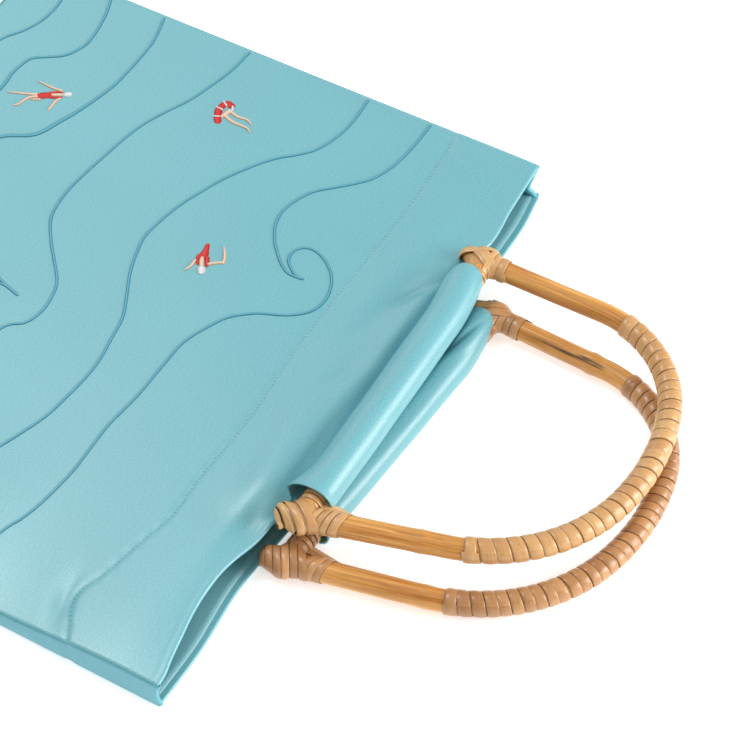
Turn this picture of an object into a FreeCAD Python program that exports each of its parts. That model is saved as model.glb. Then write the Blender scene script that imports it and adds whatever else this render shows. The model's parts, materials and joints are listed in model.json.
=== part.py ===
"""Beach bag: a satin tote with turned-in hems and two rattan handles, lying on its back.

Row frame: X across the bag, Y from the handles to the base, Z up from the surface it lies on.
The mouth opens toward -Y. "near" parts are on the -X side and "far" parts on the +X side.
The front panel, with all that is sewn to it, is built flat in its own frame (mouth edge on
the X axis, underside on z = 0) and then tilted about the base seam. Each handle is built flat
with its crossbar on the X axis and its hoop toward -Y, and then laid down in its casing.
"""
import FreeCAD, Part
import math
import os

from FreeCAD import Placement, Rotation, Vector

DIMENSIONS = {
    # bag
    "bag_width": 340.0,
    "bag_height": 295.0,
    "handle_reach": 141.97,
    "panel_thickness": 2.0,
    "depth_at_mouth": 16.0,
    "depth_at_base": 9.0,
    "gusset_thickness": 2.0,
    "base_thickness": 2.0,
    "hem_depth": 44.0,
    "facing_thickness": 0.8,
    "lining_thickness": 0.5,
    "seam_gap": 0.3,
    # casings that hold the handle crossbars
    "casing_radius": 8.0,
    "casing_length": 142.0,
    "bore_gap": 0.3,
    "front_casing_middle": 15.5,
    "back_casing_middle": 4.5,
    # where the crossbars lie
    "front_bar_reach": 8.8,
    "front_bar_height": 24.7,
    "front_bar_middle": 16.6,
    "front_yaw": 0.7,
    "front_droop": 3.1,
    "back_bar_reach": 15.5,
    "back_bar_middle": 2.5,
    "back_yaw": -3.9,
    "floor_gap": 0.1,
    # hoop outline
    "hoop_half_width": 84.8,
    "hoop_rise": 119.4,
    "near_lean": 18.0,
    "far_lean": -3.0,
    "near_shoulder_radius": 82.0,
    "far_shoulder_radius": 54.0,
    "crown_radius": 105.0,
    "crown_offset": 18.0,
    "hoop_overshoot": 5.0,
    # cane and its bindings
    "cane_radius": 5.2,
    "bar_radius": 5.0,
    "wrap_thickness": 0.7,
    "wrap_start": 78.0,
    "lashing_thickness": 1.6,
    "lashing_bar_length": 11.0,
    "near_lashing_length": 24.0,
    "far_lashing_length": 16.0,
    "knob_radius": 7.8,
    "brad_radius": 0.8,
    "brad_length": 24.0,
    # thread
    "thread_height": 0.5,
    "wave_width": 1.4,
    "stitch_length": 2.2,
    "stitch_width": 0.6,
    "stitch_pitch": 4.2,
    "stitch_depth": 0.6,
}

# Embroidered wave lines on the front panel, as (x, distance from the mouth edge).
WAVES = [
    [(168, 273), (138, 268), (114, 279), (90, 284), (55, 281), (0, 262), (-60, 258), (-110, 266), (-168, 260)],
    [(168, 248), (150, 241), (129, 240), (113, 255), (90, 260), (50, 262), (10, 246), (-45, 230), (-100, 236),
     (-168, 226)],
    [(168, 216), (130, 210), (93, 216), (64, 232), (42, 243), (18, 232), (0, 210), (-15, 192), (-21, 175)],
    [(-21, 175), (-24, 187), (-36, 201), (-62, 204), (-100, 194), (-135, 198), (-168, 206)],
    [(168, 165), (139, 168), (100, 183), (58, 190), (24, 187), (-6, 163), (-25, 159), (-42, 171), (-70, 178),
     (-110, 170), (-168, 176)],
    [(168, 95), (141, 95), (120, 105), (89, 128), (49, 141), (16, 136), (-21, 122), (-62, 122), (-97, 133),
     (-130, 147), (-168, 150)],
    [(168, 60), (137, 62), (110, 80), (85, 93), (65, 87), (52, 74), (52, 62)],
    [(52, 62), (54, 70), (62, 77), (70, 74), (70, 63), (60, 52), (43, 47), (30, 57), (10, 85), (-22, 92),
     (-67, 96), (-114, 99), (-140, 108), (-168, 114)],
]

# Embroidered bathers on the front panel. Each strip is ((x, y) ends, half width at each end).
SUITS = [
    ((97, 229), (93, 241), 3.2, 2.4),
    ((118, 148), (127, 157), 2.6, 2.6),
    ((36, 107), (45, 117), 3.0, 2.2),
    ((-104, 207), (-109, 219), 3.0, 2.3),
]
LIMBS = [
    ((90.5, 244), (86, 257), 1.2, 0.8),
    ((94.5, 244), (95, 254), 1.2, 0.8),
    ((92.5, 227.5), (84, 224), 1.0, 0.8),
    ((101.5, 231), (110, 236), 1.0, 0.8),
    ((124, 145.5), (128, 135), 1.2, 0.8),
    ((120, 143.5), (122, 133), 1.2, 0.8),
    ((32, 110.5), (26, 113), 1.0, 0.8),
    ((40.5, 104.5), (46, 100), 1.0, 0.8),
    ((-112, 222), (-115, 231), 1.2, 0.8),
    ((-108, 223), (-105, 232), 1.2, 0.8),
    ((-99, 209), (-91, 214), 1.0, 0.8),
    ((-108, 205), (-116, 203), 1.0, 0.8),
]
CAPS = [(98.5, 222.5, 2.8), (32, 102.5, 2.8), (-101, 200.5, 2.8)]

document = FreeCAD.newDocument("beach_bag")
sheet = document.addObject("Spreadsheet::Sheet", "Dimensions")
for row, (alias, value) in enumerate(DIMENSIONS.items(), start=1):
    sheet.set(f"A{row}", alias)
    sheet.set(f"B{row}", str(value))
    sheet.setAlias(f"B{row}", alias)
document.recompute()


def size(alias):
    return float(sheet.get(alias))


nodes = []

mouth_y = (size("handle_reach") - size("bag_height")) / 2
base_y = mouth_y + size("bag_height")
tilt = math.degrees(math.asin((size("depth_at_mouth") - size("depth_at_base")) / size("bag_height")))
front_frame = Placement(
    Vector(0, mouth_y, size("panel_thickness") + size("depth_at_mouth")),
    Rotation(Vector(1, 0, 0), -tilt),
)
back_frame = Placement(Vector(0, mouth_y, 0), Rotation())


def keep(feature, label):
    """Name a finished sub-part and put it on the list of nodes to write."""
    feature.Label = label
    nodes.append(feature)
    return feature


def box(label, frame, corner, sides):
    """A flat cloth piece: a Part::Box whose corner and sides are expressions on the sheet."""
    piece = document.addObject("Part::Box", label)
    for side, expression in zip(("Length", "Width", "Height"), sides):
        piece.setExpression(side, expression)
    document.recompute()
    piece.Placement = frame.multiply(Placement(corner, Rotation()))
    return keep(piece, label)


def solid(label, shape, placement=Placement()):
    """A sub-part whose shape comes from Part's own functions."""
    piece = document.addObject("Part::Feature", label)
    piece.Shape = shape
    piece.Placement = placement
    return keep(piece, label)


def prism(points, height):
    """An upright prism on a closed polygon of points."""
    outline = Part.makePolygon(list(points) + [points[0]])
    return Part.Face(outline).extrude(Vector(0, 0, height))


# ---------------------------------------------------------------- panels, facings and linings

def make_panels():
    half = size("bag_width") / 2
    inner = half - size("gusset_thickness") - size("seam_gap")
    width = "Dimensions.bag_width"
    inner_width = "Dimensions.bag_width - 2 * Dimensions.gusset_thickness - 2 * Dimensions.seam_gap"
    lining_length = "Dimensions.bag_height - Dimensions.hem_depth - Dimensions.base_thickness - Dimensions.seam_gap"
    panel = (width, "Dimensions.bag_height", "Dimensions.panel_thickness")
    facing = (inner_width, "Dimensions.hem_depth", "Dimensions.facing_thickness")
    lining = (inner_width, lining_length, "Dimensions.lining_thickness")
    hem = size("hem_depth")
    top = size("panel_thickness")

    box("front_panel", front_frame, Vector(-half, 0, 0), panel)
    box("front_facing", front_frame, Vector(-inner, 0, -size("facing_thickness")), facing)
    box("front_lining", front_frame, Vector(-inner, hem, -size("lining_thickness")), lining)
    box("back_panel", back_frame, Vector(-half, 0, 0), panel)
    box("back_facing", back_frame, Vector(-inner, 0, top), facing)
    box("back_lining", back_frame, Vector(-inner, hem, top), lining)


def side_wall(label, x_left, length, thickness, lift):
    """A wedge standing on the back panel and ending just under the tilted front panel."""
    bottom = size("panel_thickness") + lift
    gap = size("seam_gap") + lift
    slope = math.tan(math.radians(tilt))
    top_at_mouth = size("panel_thickness") + size("depth_at_mouth") - gap
    body = document.addObject("PartDesign::Body", label)
    sketch = body.newObject("Sketcher::SketchObject", label + "_outline")
    plane = next(f for f in body.Origin.OriginFeatures if f.Role == "YZ_Plane")
    sketch.AttachmentSupport = [(plane, "")]
    sketch.MapMode = "FlatFace"
    corners = [
        Vector(mouth_y, bottom, 0),
        Vector(mouth_y + length, bottom, 0),
        Vector(mouth_y + length, top_at_mouth - length * slope, 0),
        Vector(mouth_y, top_at_mouth, 0),
    ]
    for index, corner in enumerate(corners):
        sketch.addGeometry(Part.LineSegment(corner, corners[(index + 1) % 4]), False)
    pad = body.newObject("PartDesign::Pad", label + "_pad")
    pad.Profile = sketch
    pad.setExpression("Length", thickness)
    document.recompute()
    body.Placement = Placement(Vector(x_left, 0, 0), Rotation())
    return keep(body, label)


def make_gussets():
    half = size("bag_width") / 2
    cloth = size("gusset_thickness")
    facing = size("facing_thickness")
    wall = "Dimensions.gusset_thickness"
    length = size("bag_height") - size("base_thickness")
    lift = facing + size("seam_gap")
    side_wall("near_gusset", -half, length, wall, 0)
    side_wall("far_gusset", half - cloth, length, wall, 0)
    for label, x_left in (("near_gusset_facing", -half + cloth), ("far_gusset_facing", half - cloth - facing)):
        side_wall(label, x_left, size("hem_depth"), "Dimensions.facing_thickness", lift)

    height = "Dimensions.depth_at_base - Dimensions.seam_gap"
    corner = Vector(-half, size("bag_height") - size("base_thickness"), size("panel_thickness"))
    box("base_gusset", back_frame, corner, ("Dimensions.bag_width", "Dimensions.base_thickness", height))


# ---------------------------------------------------------------- casings

def casing(label, frame, middle, bar, direction, web_height):
    """A tab folded round the crossbar: a tube along the bar and the web that joins it to the panel."""
    radius = size("casing_radius")
    bore = size("bar_radius") + size("bore_gap")
    length = size("casing_length")
    local = frame.inverse()
    axis = local.Rotation.multVec(direction)
    centre = local.multVec(bar) + axis * (middle - bar.x)
    start = centre - axis * (length / 2)
    end = centre + axis * (length / 2)
    tube = Part.makeCylinder(radius, length, start, axis)
    inset = radius / 3
    web = prism([
        Vector(start.x, start.y + inset, 0),
        Vector(end.x, end.y + inset, 0),
        Vector(end.x, 0, 0),
        Vector(start.x, 0, 0),
    ], web_height)
    hole = Part.makeCylinder(bore, 2 * length, centre - axis * length, axis)
    return solid(label, tube.fuse(web).cut(hole).removeSplitter(), frame)


# ---------------------------------------------------------------- handles

def plan(x, out):
    """A point in a handle's own flat frame, at a distance out from the crossbar."""
    return Vector(x, -out, 0)


def shoulder(corner, lean, radius, side, crown, crown_radius):
    """Where the shoulder arc of a hoop meets its straight arm and its crown arc."""
    along = plan(-side * math.sin(lean), math.cos(lean))
    inward = plan(-side * math.cos(lean), -math.sin(lean))
    offset = corner + inward * radius - crown
    reach = along.dot(offset)
    slack = offset.dot(offset) - (crown_radius - radius) ** 2
    centre = crown + offset + along * (math.sqrt(reach * reach - slack) - reach)
    foot = centre - inward * radius
    spoke = (centre - crown).normalize()
    meet = crown + spoke * crown_radius
    middle = centre + ((foot - centre) + (meet - centre)).normalize() * radius
    return along, foot, middle, meet


def hoop_edges():
    """Near arm, near shoulder, crown, far shoulder and far arm, in order."""
    half = size("hoop_half_width")
    crown_radius = size("crown_radius")
    crown = plan(size("crown_offset"), size("hoop_rise") - crown_radius)
    overshoot = size("hoop_overshoot")
    near_corner = plan(-half, 0)
    far_corner = plan(half, 0)
    near_along, near_foot, near_mid, near_meet = shoulder(
        near_corner, math.radians(size("near_lean")), size("near_shoulder_radius"), -1, crown, crown_radius)
    far_along, far_foot, far_mid, far_meet = shoulder(
        far_corner, math.radians(size("far_lean")), size("far_shoulder_radius"), 1, crown, crown_radius)
    top = crown + ((near_meet - crown) + (far_meet - crown)).normalize() * crown_radius
    return [
        Part.LineSegment(near_corner - near_along * overshoot, near_foot).toShape(),
        Part.Arc(near_foot, near_mid, near_meet).toShape(),
        Part.Arc(near_meet, top, far_meet).toShape(),
        Part.Arc(far_meet, far_mid, far_foot).toShape(),
        Part.LineSegment(far_foot, far_corner - far_along * overshoot).toShape(),
    ]


def stretch(edges, start, end):
    """The part of a path of edges between two lengths along it."""
    pieces = []
    passed = 0.0
    for edge in edges:
        low = max(start - passed, 0.0)
        high = min(end - passed, edge.Length)
        if high - low > 1e-6:
            first = edge.getParameterByLength(low)
            last = edge.getParameterByLength(high)
            pieces.append(edge.Curve.toShape(first, last))
        passed += edge.Length
    return pieces


def sweep(edges, radius):
    """A round bar along a path."""
    start = edges[0].valueAt(edges[0].FirstParameter)
    tangent = edges[0].tangentAt(edges[0].FirstParameter)
    profile = Part.Wire([Part.Circle(start, tangent, radius).toShape()])
    return Part.Wire(edges).makePipeShell([profile], True, True)


def make_handle(side, frame):
    """One D-shaped handle: hoop, crossbar, two corner lashings, grip wrap and brads."""
    half = size("hoop_half_width")
    cane = size("cane_radius")
    bar = size("bar_radius")
    lashed = cane + size("lashing_thickness")
    edges = hoop_edges()
    total = sum(edge.Length for edge in edges)
    hoop = sweep(edges, cane)
    crossbar = Part.makeCylinder(bar, 2 * half, plan(-half, 0), Vector(1, 0, 0)).cut(hoop)

    brad_length = size("brad_length")
    brads = [
        Part.makeCylinder(size("brad_radius"), brad_length, plan(end * (half + bar), 0), Vector(-end, 0, 0))
        for end in (-1, 1)
    ]
    hoop = hoop.cut(brads)
    crossbar = crossbar.cut(brads)
    solid(f"{side}_hoop", hoop, frame)
    solid(f"{side}_crossbar", crossbar, frame)
    solid(f"{side}_brads", Part.makeCompound(brads), frame)

    covered = hoop.fuse([crossbar] + brads)
    overshoot = size("hoop_overshoot")
    near_reach = size("near_lashing_length") + overshoot
    far_reach = size("far_lashing_length") + overshoot
    arms = {
        "near": (-half, Vector(1, 0, 0), stretch(edges, 0, near_reach)),
        "far": (half, Vector(-1, 0, 0), stretch(edges, total - far_reach, total)),
    }
    for end, (x, inward, arm) in arms.items():
        sleeve = sweep(arm, lashed)
        collar = Part.makeCylinder(lashed, size("lashing_bar_length"), plan(x, 0), inward)
        knob = Part.makeSphere(size("knob_radius"), plan(x, 0))
        lashing = sleeve.fuse([collar, knob]).cut(covered)
        biggest = max(lashing.Solids, key=lambda part: part.Volume)
        solid(f"{side}_{end}_lashing", biggest, frame)

    wrap_start = size("wrap_start")
    grip = stretch(edges, wrap_start, total - wrap_start)
    wrap = sweep(grip, cane + size("wrap_thickness")).cut(sweep(grip, cane))
    solid(f"{side}_grip_wrap", wrap, frame)


def handle_frame(middle, reach, height, yaw, droop):
    """Where a handle lies: the middle of its crossbar, turned in plan and drooping to the crown."""
    turn = Rotation(Vector(0, 0, 1), yaw)
    fall = Rotation(Vector(1, 0, 0), droop)
    return Placement(Vector(middle, mouth_y - reach, height), turn.multiply(fall))


# ---------------------------------------------------------------- thread

def ribbon(points, width, height):
    """A raised line of thread of constant width through points in the plane."""
    spline = Part.BSplineCurve()
    spline.interpolate([Vector(x, y, 0) for x, y in points])
    steps = 6 * (len(points) - 1)
    first, last = spline.FirstParameter, spline.LastParameter
    sides = {1: [], -1: []}
    for step in range(steps + 1):
        at = first + (last - first) * step / steps
        normal = Vector(0, 0, 1).cross(spline.tangent(at)[0]).normalize()
        for side, line in sides.items():
            line.append(spline.value(at) + normal * (side * width / 2))
    borders = []
    for line in sides.values():
        border = Part.BSplineCurve()
        border.interpolate(line)
        borders.append(border.toShape())
    caps = [Part.makeLine(sides[1][end], sides[-1][end]) for end in (0, -1)]
    outline = Part.Wire(Part.sortEdges([borders[0], caps[1], borders[1], caps[0]])[0])
    return Part.Face(outline).extrude(Vector(0, 0, height))


def strip(start, end, start_half, end_half, height):
    """A tapered patch of satin stitch between two points."""
    first = Vector(*start, 0)
    last = Vector(*end, 0)
    across = Vector(0, 0, 1).cross(last - first).normalize()
    corners = [
        first + across * start_half,
        first - across * start_half,
        last - across * end_half,
        last + across * end_half,
    ]
    return prism(corners, height)


def make_embroidery():
    height = size("thread_height")
    on_top = front_frame.multiply(Placement(Vector(0, 0, size("panel_thickness")), Rotation()))
    ribbons = [ribbon(points, size("wave_width"), height) for points in WAVES]
    solid("wave_embroidery", ribbons[0].fuse(ribbons[1:]), on_top)
    solid("suit_embroidery", Part.makeCompound([strip(*suit, height) for suit in SUITS]), on_top)
    solid("limb_embroidery", Part.makeCompound([strip(*limb, height) for limb in LIMBS]), on_top)
    caps = [Part.makeCylinder(radius, height, Vector(x, y, 0)) for x, y, radius in CAPS]
    solid("cap_embroidery", Part.makeCompound(caps), on_top)


def make_hem_stitches(label, frame, low):
    """The pick stitches that hold a turned-in hem, sunk into the panel they go through."""
    pitch = size("stitch_pitch")
    count = int((size("bag_width") - 4 * pitch) / pitch)
    first = -pitch * (count - 1) / 2
    stitch = Part.makeBox(size("stitch_width"), size("stitch_length"), size("stitch_depth"))
    row = []
    for index in range(count):
        copy = stitch.copy()
        copy.translate(Vector(first + index * pitch, size("hem_depth") - size("stitch_length"), low))
        row.append(copy)
    solid(label, Part.makeCompound(row), frame)


# ---------------------------------------------------------------- assembly

def check():
    for item in document.Objects:
        if "Invalid" in item.State or "Error" in item.State:
            raise RuntimeError(f"{item.Label} did not recompute: {item.State}")
    for node in nodes:
        shape = node.Shape
        if shape.isNull() or not shape.isValid() or not shape.Solids or shape.Volume <= 0:
            raise RuntimeError(f"{node.Label} has a bad shape")


def main():
    make_panels()
    make_gussets()

    front_handle = handle_frame(size("front_bar_middle"), size("front_bar_reach"), size("front_bar_height"),
                                size("front_yaw"), size("front_droop"))
    crown_height = size("cane_radius") + size("wrap_thickness")
    back_fall = math.asin((size("casing_radius") - crown_height - size("floor_gap")) / size("hoop_rise"))
    back_handle = handle_frame(size("back_bar_middle"), size("back_bar_reach"), size("casing_radius"),
                               size("back_yaw"), math.degrees(back_fall))
    across = Vector(1, 0, 0)
    casing("front_casing", front_frame, size("front_casing_middle"), front_handle.Base,
           front_handle.Rotation.multVec(across), size("panel_thickness"))
    casing("back_casing", back_frame, size("back_casing_middle"), back_handle.Base,
           back_handle.Rotation.multVec(across), size("panel_thickness"))
    make_handle("front", front_handle)
    make_handle("back", back_handle)

    make_embroidery()
    top = size("panel_thickness")
    make_hem_stitches("front_hem_stitches", front_frame, top - size("stitch_depth") / 2)
    make_hem_stitches("back_hem_stitches", back_frame, 0)

    document.recompute()
    check()
    os.makedirs("parts", exist_ok=True)
    whole = FreeCAD.BoundBox()
    for node in nodes:
        node.Shape.exportStep(f"parts/{node.Label}.step")
        whole.add(node.Shape.BoundBox)
        print(f"{node.Label:22s} {len(node.Shape.Solids):3d} solids {node.Shape.Volume:10.1f} mm3")
    print("box", whole)
    print("base seam", round(base_y, 3), "tilt", round(tilt, 4))
    for name, frame in (("front", front_handle), ("back", back_handle)):
        print(name, "bar", frame.Base, "axis", frame.Rotation.multVec(across))


main()
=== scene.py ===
"""Looks of a satin beach bag with two rattan handles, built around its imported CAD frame.

Lengths in this script are millimetres until a mesh is written. A point on the bag is given as
(x, v, z): x across the bag, v from the mouth edge towards the base, z up from the surface the
bag lies on. "near" is the -X side and "far" the +X side, as in the CAD part.
"""

import json
import math
import random

import bpy
import numpy as np
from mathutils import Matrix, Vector


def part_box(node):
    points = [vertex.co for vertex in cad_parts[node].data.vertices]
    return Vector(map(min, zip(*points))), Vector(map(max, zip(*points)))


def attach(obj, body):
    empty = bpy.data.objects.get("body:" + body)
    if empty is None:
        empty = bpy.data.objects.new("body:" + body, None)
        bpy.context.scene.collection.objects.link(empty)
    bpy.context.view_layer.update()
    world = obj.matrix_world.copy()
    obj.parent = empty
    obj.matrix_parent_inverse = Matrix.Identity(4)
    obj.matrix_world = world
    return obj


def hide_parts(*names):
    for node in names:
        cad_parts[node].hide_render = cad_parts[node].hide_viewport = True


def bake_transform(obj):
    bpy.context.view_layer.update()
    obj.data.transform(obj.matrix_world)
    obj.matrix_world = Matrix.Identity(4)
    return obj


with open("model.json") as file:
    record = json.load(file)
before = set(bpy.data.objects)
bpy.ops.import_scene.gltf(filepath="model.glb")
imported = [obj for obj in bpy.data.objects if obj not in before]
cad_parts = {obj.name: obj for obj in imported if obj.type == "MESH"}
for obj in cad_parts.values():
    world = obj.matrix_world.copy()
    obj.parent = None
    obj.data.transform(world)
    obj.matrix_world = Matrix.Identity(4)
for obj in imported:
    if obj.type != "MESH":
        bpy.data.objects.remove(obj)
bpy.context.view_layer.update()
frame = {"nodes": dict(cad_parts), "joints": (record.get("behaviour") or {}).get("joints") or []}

MM = 0.001
back_low, back_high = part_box("back_panel")
MOUTH_Y = back_low.y / MM
BAG_HEIGHT = (back_high.y - back_low.y) / MM
HALF_WIDTH = back_high.x / MM
JOINTS = {joint["name"]: joint for joint in frame["joints"]}


# ---- mesh helpers

def ease(t):
    t = np.clip(t, 0.0, 1.0)
    return t * t * (3 - 2 * t)


def unit(vector):
    vector = np.asarray(vector, float)
    return vector / np.linalg.norm(vector, axis=-1, keepdims=True)


def on_bag(x, v, z):
    """Row-frame points, in mm, from bag coordinates."""
    x, v, z = np.broadcast_arrays(x, v, z)
    return np.stack([x, v + MOUTH_Y, z], axis=-1).astype(float)


def grid_faces(rows, columns, closed=False, first=0, flip=False):
    """Quads of a grid of points; closed joins the last column to the first."""
    r, c = np.meshgrid(np.arange(rows - 1), np.arange(columns if closed else columns - 1), indexing="ij")
    here = r * columns + c
    right = r * columns + (c + 1) % columns
    quads = np.stack([here, right, right + columns, here + columns], -1).reshape(-1, 4)
    return (quads[:, ::-1] if flip else quads) + first


def rim_faces(loop, offset):
    """Quads between a closed loop of points and the same loop on the underside."""
    ends = np.roll(loop, -1)
    return np.stack([loop, loop + offset, ends + offset, ends], -1)


def shell(points, thickness, grain, closed=False):
    """A closed sheet under a grid of points, with the same grain on its outside and its inside.

    Its outside is columns x rows, right-handed. grain holds three values that spread over the grid.
    """
    rows, columns = points.shape[:2]
    if closed:
        across = np.roll(points, -1, axis=1) - np.roll(points, 1, axis=1)
    else:
        across = np.gradient(points, axis=1)
    normal = unit(np.cross(across, np.gradient(points, axis=0)))
    count = rows * columns
    index = np.arange(count).reshape(rows, columns)
    faces = [grid_faces(rows, columns, closed), grid_faces(rows, columns, closed, count, True)]
    if closed:
        faces += [rim_faces(index[0], count), rim_faces(index[-1][::-1], count)]
    else:
        loop = np.concatenate([index[0], index[1:, -1], index[-1, -2::-1], index[-2:0:-1, 0]])
        faces.append(rim_faces(loop, count))
    under = points - normal * thickness
    grain = np.stack([np.broadcast_to(value, points.shape[:2]) for value in grain], -1).reshape(-1, 3)
    points = np.concatenate([points.reshape(-1, 3), under.reshape(-1, 3)])
    return points, np.concatenate([grain, grain]), np.concatenate(faces)


def add_piece(name, parts, material, body, stands_for, marks=None):
    """One piece from (points, grain, quads, end faces...) parts in row-frame mm."""
    points = np.concatenate([part[0] for part in parts])
    grain = np.concatenate([part[1] for part in parts])
    starts = np.cumsum([0] + [len(part[0]) for part in parts[:-1]])
    faces = np.concatenate([part[2] + start for part, start in zip(parts, starts)]).tolist()
    faces += [(face + start).tolist() for part, start in zip(parts, starts) for face in part[3:]]
    mesh = bpy.data.meshes.new(name)
    mesh.from_pydata((points * MM).tolist(), [], faces)
    mesh.shade_smooth()
    layer = mesh.attributes.new("grain", "FLOAT_VECTOR", "POINT")
    layer.data.foreach_set("vector", grain.astype(np.float32).ravel())
    if marks is not None:
        layer = mesh.attributes.new("mark", "FLOAT", "POINT")
        layer.data.foreach_set("value", marks.astype(np.float32).ravel())
    mesh.materials.append(material)
    mesh.update()
    piece = bpy.data.objects.new(name, mesh)
    bpy.context.scene.collection.objects.link(piece)
    if body:
        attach(piece, body)
    if stands_for:
        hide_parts(*stands_for)
    return piece


# ---- materials

class Graph:
    """A node material under construction."""

    def __init__(self, name, roughness, **constants):
        self.material = bpy.data.materials.new(name)
        self.material.use_nodes = True
        self.nodes = self.material.node_tree.nodes
        self.links = self.material.node_tree.links
        self.shader = self.nodes["Principled BSDF"]
        self.shader.inputs["Roughness"].default_value = roughness
        for socket, value in constants.items():
            self.shader.inputs[socket.replace("_", " ")].default_value = value

    def feed(self, socket, value):
        """Link a value that comes from another node, or set a constant one."""
        if isinstance(value, bpy.types.NodeSocket):
            self.links.new(value, socket)
        else:
            socket.default_value = value

    def node(self, kind, inputs=None, **settings):
        made = self.nodes.new(kind)
        for key, value in settings.items():
            setattr(made, key, value)
        for key, value in (inputs or {}).items():
            self.feed(made.inputs[key], value)
        return made

    def attribute(self, name, output="Vector"):
        return self.node("ShaderNodeAttribute", attribute_name=name).outputs[output]

    def scaled(self, vector, scale):
        return self.node("ShaderNodeMapping", {"Vector": vector, "Scale": scale}).outputs["Vector"]

    def noise(self, vector, scale=1.0, detail=2.0, roughness=0.5, distortion=0.0):
        return self.node("ShaderNodeTexNoise", {
            "Vector": vector, "Scale": scale, "Detail": detail, "Roughness": roughness,
            "Distortion": distortion}).outputs["Fac"]

    def spread(self, value, low=0.3, high=0.7, out_low=0.0, out_high=1.0):
        return self.node("ShaderNodeMapRange", {
            "Value": value, "From Min": low, "From Max": high, "To Min": out_low, "To Max": out_high},
            interpolation_type="SMOOTHSTEP").outputs["Result"]

    def maths(self, operation, first, second=0.0):
        made = self.node("ShaderNodeMath", operation=operation)
        for socket, value in zip(made.inputs, (first, second)):
            self.feed(socket, value)
        return made.outputs["Value"]

    def blend(self, factor, first, second, mode="MIX"):
        made = self.node("ShaderNodeMix", data_type="RGBA", blend_type=mode)
        for place, value in ((0, factor), (6, first), (7, second)):
            self.feed(made.inputs[place], value)
        return made.outputs[2]

    def bump(self, height, strength, distance):
        return self.node("ShaderNodeBump", {
            "Height": height, "Strength": strength, "Distance": distance * MM}).outputs["Normal"]

    def finish(self, colour, normal=None, roughness=None):
        for name, value in (("Base Color", colour), ("Normal", normal), ("Roughness", roughness)):
            if value is not None:
                self.links.new(value, self.shader.inputs[name])
        return self.material


def rgb(red, green, blue):
    """A linear colour from sRGB values of 0 to 255."""
    def linear(value):
        value /= 255
        return value / 12.92 if value <= 0.04045 else ((value + 0.055) / 1.055) ** 2.4
    return (linear(red), linear(green), linear(blue), 1.0)


def shade(colour, factor):
    return tuple(min(1.0, channel * factor) for channel in colour[:3]) + (1.0,)


def satin(name, colour, roughness=0.37, sheen=0.15):
    """Duchess satin: floats seen as a fine mottle, a soft sheen and slow changes of tone."""
    graph = Graph(name, roughness, Sheen_Weight=sheen, Sheen_Roughness=0.38, Sheen_Tint=shade(colour, 1.9),
                  Specular_IOR_Level=0.85)
    grain = graph.attribute("grain")
    mottle = graph.noise(graph.scaled(grain, (1.5, 1.0, 1.0)), 1.0, 3.0, 0.7)
    slow = graph.noise(grain, 0.016, 2.0)
    colour_fine = graph.blend(graph.spread(mottle), shade(colour, 0.88), shade(colour, 1.12))
    colour_slow = graph.blend(graph.spread(slow), (0.97, 0.97, 0.97, 1), (1.0, 1.0, 1.0, 1))
    base = graph.blend(1.0, colour_fine, colour_slow, "MULTIPLY")
    floats = graph.node("ShaderNodeTexWave", {
        "Vector": graph.scaled(grain, (1.0, 0.55, 1.0)), "Scale": 0.9, "Distortion": 0.6, "Detail": 1.0},
        wave_type="BANDS", bands_direction="DIAGONAL").outputs["Fac"]
    height = graph.maths("ADD", graph.maths("MULTIPLY", floats, 0.5), mottle)
    rough = graph.spread(mottle, 0.25, 0.75, roughness + 0.05, roughness - 0.05)
    return graph.finish(base, graph.bump(height, 0.35, 0.03), rough)


def thread(name, core, edge, pitch=0.55):
    """Embroidery floss: painted sheen along the middle of a line and painted shade at its sides, with
    slanted stitches across it.
    """
    graph = Graph(name, 0.38, Sheen_Weight=0.3, Sheen_Roughness=0.3)
    grain = graph.attribute("grain")
    parts = graph.node("ShaderNodeSeparateXYZ", {"Vector": grain})
    across = graph.maths("ABSOLUTE", parts.outputs["X"])
    strands = graph.node("ShaderNodeTexWave", {
        "Vector": graph.scaled(grain, (0.35, 1.0, 0.0)), "Scale": 0.31 / pitch, "Distortion": 1.2,
        "Detail": 2.0}, wave_type="BANDS", bands_direction="DIAGONAL").outputs["Fac"]
    # Painted light: the core colour is painted sheen along the top of the line, and the edge colour is
    # painted shade where the line curves down at its sides.
    side = graph.spread(across, 0.15, 0.80)
    tone = graph.blend(side, core, edge)
    dim = graph.blend(1.0, tone, (0.8, 0.8, 0.8, 1), "MULTIPLY")
    base = graph.blend(graph.spread(strands, 0.0, 1.0), dim, tone)
    return graph.finish(base, graph.bump(strands, 0.6, 0.12))


def peel(name, light, dark):
    """Split rattan peel: glossy skin with lengthwise fibres, each turn a little different."""
    graph = Graph(name, 0.34, Coat_Weight=0.25, Coat_Roughness=0.22)
    grain = graph.attribute("grain")
    parts = graph.node("ShaderNodeSeparateXYZ", {"Vector": grain})
    fibres = graph.noise(graph.scaled(grain, (3.2, 0.10, 1.0)), 1.0, 4.0, 0.65)
    turn = graph.noise(graph.scaled(grain, (0.0, 0.012, 0.83)), 1.0, 1.0)
    flecks = graph.noise(graph.scaled(grain, (1.6, 0.5, 2.3)), 1.0, 2.0)
    tone = graph.blend(graph.spread(turn, 0.32, 0.68), dark, light)
    fibre_tone = graph.blend(graph.spread(fibres), (0.80, 0.76, 0.72, 1), (1.06, 1.05, 1.03, 1))
    base = graph.blend(1.0, tone, fibre_tone, "MULTIPLY")
    # Painted shade: the peel darkens towards the side edges of each strip, for the shade in the gaps between
    # turns.
    edge = graph.spread(graph.maths("ABSOLUTE", parts.outputs["X"]), 2.15, 2.6, 0.0, 0.8)
    base = graph.blend(edge, base, shade(dark, 0.45))
    base = graph.blend(graph.spread(flecks, 0.66, 0.76, 0.0, 0.6), base, shade(dark, 0.35))
    return graph.finish(base, graph.bump(fibres, 0.35, 0.12))


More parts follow.
